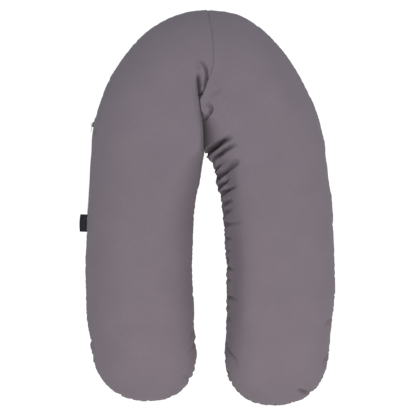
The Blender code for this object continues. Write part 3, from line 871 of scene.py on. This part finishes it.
def place_piece(name, bm, material):
    """Makes an object of the bmesh, with this material, that moves with the pillow."""
    mesh = bpy.data.meshes.new(name)
    bm.to_mesh(mesh)
    bm.free()
    mesh.materials.append(material)
    mesh.shade_smooth()
    piece = bpy.data.objects.new(name, mesh)
    bpy.context.scene.collection.objects.link(piece)
    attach(piece, "root")
    return piece


def seam_frame(run):
    """Stands at a place on the seam: x along the seam, y outwards and z up."""
    place = [np.interp(run, even_runs, seam[:, axis]) for axis in (0, 1)]
    way = Vector([np.interp(run, even_runs, seam_ways[:, axis]) for axis in (0, 1)]).normalized()
    turned = Matrix(((way.x, -way.y, 0), (way.y, way.x, 0), (0, 0, 1))).to_4x4()
    return Matrix.Translation(gap_end + Vector((*place, SEAM_HEIGHT))) @ turned


# The label
# A strip of black satin ribbon, woven with a selvedge on either side. It is folded double and is sewn in
# by its two cut ends, which lie in the seam. It is bare.

LABEL_WIDTH = 0.034
LABEL_REACH = 0.0135
LABEL_TUCKED = 0.0030
LABEL_LAYER = 0.00035
LABEL_LOOP = 0.0007  # the space between its two layers
LABEL_BOW = 0.10  # how much less it reaches at its corners, as a share of LABEL_REACH
LABEL_DROOP = 0.0015
LABEL_CURL = 0.0005
LABEL_CURL_TURN = 5  # how far the curl's wave turns over the label's width, in radians
LABEL_CURL_START = 1
LABEL_ACROSS = 24
LABEL_STEPS = 17  # along each layer
LABEL_LOOP_STEPS = 11

# The ribbon seen from its side: out along the lower layer, round its loop, and back along the upper one.
radius = (LABEL_LOOP + LABEL_LAYER) / 2
layer_out = np.linspace(-LABEL_TUCKED, LABEL_REACH - radius, LABEL_STEPS)
loop_turns = np.radians(np.linspace(0, 180, LABEL_LOOP_STEPS)[1:-1])
label_out = np.concatenate((layer_out, layer_out[-1] + radius * np.sin(loop_turns), layer_out[::-1]))
label_up = radius * np.concatenate((-np.ones(LABEL_STEPS), -np.cos(loop_turns), np.ones(LABEL_STEPS)))
label_run = np.concatenate(([0], np.cumsum(np.hypot(np.diff(label_out), np.diff(label_up)))))
bm = bmesh.new()
bmesh.ops.create_grid(bm, x_segments=LABEL_ACROSS, y_segments=len(label_out) - 1, size=0.5)
places = {vert: (vert.co.x, round((vert.co.y + 0.5) * (len(label_out) - 1))) for vert in bm.verts}
uv_layer = bm.loops.layers.uv.new("ribbon")
for face in bm.faces:
    for loop in face.loops:
        aside, step = places[loop.vert]
        loop[uv_layer].uv = (aside * LABEL_WIDTH, label_run[step])
for vert, (aside, step) in places.items():
    reach = label_out[step] / LABEL_REACH
    out = label_out[step] * (1 - LABEL_BOW * (2 * aside) ** 2)
    curl = LABEL_CURL * reach * math.sin(LABEL_CURL_TURN * aside + LABEL_CURL_START)
    vert.co = (aside * LABEL_WIDTH, out, label_up[step] - LABEL_DROOP * reach**2 + curl)
bmesh.ops.recalc_face_normals(bm, faces=bm.faces)
bmesh.ops.transform(bm, verts=bm.verts, matrix=seam_frame(seam_run_at("side_label")))

# The satin. Its weft shows as fine ribs across, its warp fainter, and the selvedges are a little lighter.
SATIN_BLACK = (0.0055, 0.0058, 0.0140, 1)
SATIN_SHEEN = (0.0140, 0.0148, 0.0290, 1)
SATIN_WEFT = 0.0004
SATIN_WARP = 0.0008
WEFT_SHARE = 0.7
WARP_SHARE = 0.3
SELVEDGE = 0.0014
satin, shader, flow = start_material(
    "black satin ribbon", Specular_IOR_Level=0.25, Sheen_Weight=0.1, Sheen_Roughness=0.4,
)
_, warp, weft = uv_parts(flow, "ribbon")
selvedge = warp.math("ABSOLUTE").math("GREATER_THAN", LABEL_WIDTH / 2 - SELVEDGE)
ribs = threads(weft, SATIN_WEFT) * WEFT_SHARE + threads(warp, SATIN_WARP) * WARP_SHARE
mixed(flow, ribs * 0.5 + selvedge * 0.4, SATIN_BLACK, SATIN_SHEEN).feed(shader.inputs["Base Color"])
(0.62 - ribs * 0.2).feed(shader.inputs["Roughness"])
raise_relief(flow, shader, ribs + selvedge, strength=0.5, distance=0.0001)
label = place_piece("label", bm, satin)
thickness = label.modifiers.new("layer", "SOLIDIFY")
thickness.thickness = LABEL_LAYER
thickness.offset = 0
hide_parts("side_label")

# The zip
# A closed coil zip in the outer seam: a nylon coil on a woven tape, between welts that are sewn down with
# one row of stitches each. Its cast metal slider stands at the upper end with its pull lying flat.

# The coil's loops lie by turns a little above and below its middle.
COIL_PITCH = 0.0014
COIL_LOOP = Vector((0.0009, 0.0011, 0.0030))  # along the seam, outwards, up
COIL_SUNK = 0.0008
COIL_STAGGER = 0.0005
NYLON_DARK = (0.120, 0.100, 0.114, 1)
NYLON_LIGHT = (0.165, 0.138, 0.157, 1)
bm = bmesh.new()
for i in range(int(ZIP_LENGTH / COIL_PITCH)):
    loop = bmesh.ops.create_icosphere(bm, subdivisions=1, radius=0.5)["verts"]
    bmesh.ops.scale(bm, verts=loop, vec=COIL_LOOP)
    up = COIL_STAGGER if i % 2 else -COIL_STAGGER
    stand = seam_frame(zip_start + COIL_PITCH * i) @ Matrix.Translation((0, -COIL_SUNK, up))
    bmesh.ops.transform(bm, verts=loop, matrix=stand)
nylon, shader, flow = start_material("grey nylon", Roughness=0.42)
patches = blotches(flow, object_place(flow), size=0.003)
mixed(flow, patches, NYLON_DARK, NYLON_LIGHT).feed(shader.inputs["Base Color"])
coil = place_piece("zip_coil", bm, nylon)

# The tape shows behind it.
TAPE_SUNK = 0.0014
TAPE_WIDTH = 0.0038
TAPE_STEPS = 110
TAPE_WARP = 0.0005
TAPE_WEFT = 0.0007
TAPE_DARK = (0.110, 0.092, 0.105, 1)
TAPE_LIGHT = (0.160, 0.134, 0.153, 1)
bm = bmesh.new()
bmesh.ops.create_grid(bm, x_segments=TAPE_STEPS, y_segments=2, size=0.5)
uv_layer = bm.loops.layers.uv.new("tape")
for face in bm.faces:
    for loop in face.loops:
        loop[uv_layer].uv = (loop.vert.co.x * ZIP_LENGTH, loop.vert.co.y * TAPE_WIDTH)
for vert in bm.verts:
    stand = seam_frame(zip_start + (vert.co.x + 0.5) * ZIP_LENGTH)
    vert.co = stand @ Vector((0, -TAPE_SUNK, vert.co.y * TAPE_WIDTH))
bmesh.ops.recalc_face_normals(bm, faces=bm.faces)
tape_cloth, shader, flow = start_material("woven zip tape")
_, warp, weft = uv_parts(flow, "tape")
ribs = threads(warp, TAPE_WARP) * threads(weft, TAPE_WEFT)
mixed(flow, ribs, TAPE_DARK, TAPE_LIGHT).feed(shader.inputs["Base Color"])
(ribs * 0.1 + 0.8).feed(shader.inputs["Roughness"])
tape = place_piece("zip_tape", bm, tape_cloth)

# The stitches lie on the cloth, in the dent of each welt.
STITCH_AWAY = 0.0070
STITCH_PITCH = 0.0032
STITCH = Vector((0.0026, 0.0005, 0.0005))  # along the seam, outwards, up
STITCH_SEARCHED = 0.05  # from this far outside the seam
THREAD_DARK = (0.200, 0.168, 0.192, 1)
THREAD_LIGHT = (0.262, 0.222, 0.250, 1)
cover_faces = [face.vertices for face in cover_mesh.polygons]
cover_tree = BVHTree.FromPolygons([vert.co for vert in cover_mesh.vertices], cover_faces)
bm = bmesh.new()
for side in (-1, 1):
    for i in range(round(ZIP_LENGTH / STITCH_PITCH)):
        stand = seam_frame(zip_start + STITCH_PITCH * (i + 0.5))
        start = stand @ Vector((0, STITCH_SEARCHED, side * STITCH_AWAY))
        stand.translation = cover_tree.ray_cast(start, stand.to_3x3() @ Vector((0, -1, 0)))[0]
        stitch = bmesh.ops.create_icosphere(bm, subdivisions=1, radius=0.5)["verts"]
        bmesh.ops.scale(bm, verts=stitch, vec=STITCH)
        bmesh.ops.transform(bm, verts=stitch, matrix=stand)
thread, shader, flow = start_material("mauve sewing thread")
place = object_place(flow)
patches = blotches(flow, place, size=0.0012)
mixed(flow, patches, THREAD_DARK, THREAD_LIGHT).feed(shader.inputs["Base Color"])
(blotches(flow, place, size=0.0008) * 0.2 + 0.6).feed(shader.inputs["Roughness"])
stitches = place_piece("zip_stitches", bm, thread)

# The slider and its pull keep their shapes, and get their metal here.
METAL_DARK = (0.150, 0.145, 0.150, 1)
METAL_LIGHT = (0.260, 0.252, 0.258, 1)
metal, shader, flow = start_material("cast grey metal", Metallic=0.85, IOR=1.5)
grain = blotches(flow, object_place(flow), size=0.0015, detail=4.0)
mixed(flow, grain, METAL_DARK, METAL_LIGHT).feed(shader.inputs["Base Color"])
(grain * 0.25 + 0.25).feed(shader.inputs["Roughness"])
raise_relief(flow, shader, grain, strength=0.2, distance=0.0001)
for name in ("zip_slider", "zip_pull"):
    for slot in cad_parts[name].material_slots:
        slot.material = metal

# The studio
# A plain pale floor, one wide soft lamp overhead, and a pale room all round. The floor glows white itself,
# and it neither lights the sides from below nor shows in them.

FLOOR_HALF = 12
floor_mesh = bpy.data.meshes.new("floor")
bm = bmesh.new()
bmesh.ops.create_grid(bm, x_segments=1, y_segments=1, size=FLOOR_HALF)
bm.to_mesh(floor_mesh)
bm.free()
floor = bpy.data.objects.new("floor", floor_mesh)
bpy.context.scene.collection.objects.link(floor)
white = start_material(
    "pale floor", Base_Color=(0.1, 0.1, 0.1, 1), Roughness=0.9,
    Emission_Color=(1, 1, 1, 1), Emission_Strength=1.0,
)[0]
floor_mesh.materials.append(white)
floor.visible_diffuse = floor.visible_glossy = False

world = bpy.data.worlds.new("soft room")
bpy.context.scene.world = world
world.use_nodes = True
room = world.node_tree.nodes["Background"]
room.inputs["Color"].default_value = (0.955, 0.98, 1, 1)
room.inputs["Strength"].default_value = 0.567
bpy.context.scene.view_settings.view_transform = "Standard"

LAMP_PLACE = Vector((0.6, -1.0, 3.4))
lamp = bpy.data.lights.new("overhead", "AREA")
lamp.size = 2.0
lamp.energy = 51.5
lamp.color = (1.0, 0.94, 0.89)
lamp_object = bpy.data.objects.new("overhead", lamp)
lamp_object.location = LAMP_PLACE
lamp_object.rotation_euler = (-LAMP_PLACE).to_track_quat("-Z", "Y").to_euler()
bpy.context.scene.collection.objects.link(lamp_object)

# The camera looks straight down, and the gap's upper end stands at GAP_END_PIXEL in its picture.
CAMERA_HEIGHT = 6.0
PICTURE_SIZE = 416
PIXEL = 0.00194  # how much one pixel shows at the seam's height
GAP_END_PIXEL = (204.9, 150.8)
camera = bpy.data.cameras.new("camera")
camera.sensor_width = 36
camera.lens = camera.sensor_width * (CAMERA_HEIGHT - SEAM_HEIGHT) / (PICTURE_SIZE * PIXEL)
camera.clip_end = 50
aside = (PICTURE_SIZE / 2 - GAP_END_PIXEL[0]) * PIXEL
upwards = (GAP_END_PIXEL[1] - PICTURE_SIZE / 2) * PIXEL
camera_object = bpy.data.objects.new("camera", camera)
camera_object.location = gap_end + Vector((aside, upwards, CAMERA_HEIGHT))
bpy.context.scene.collection.objects.link(camera_object)
bpy.context.scene.camera = camera_object
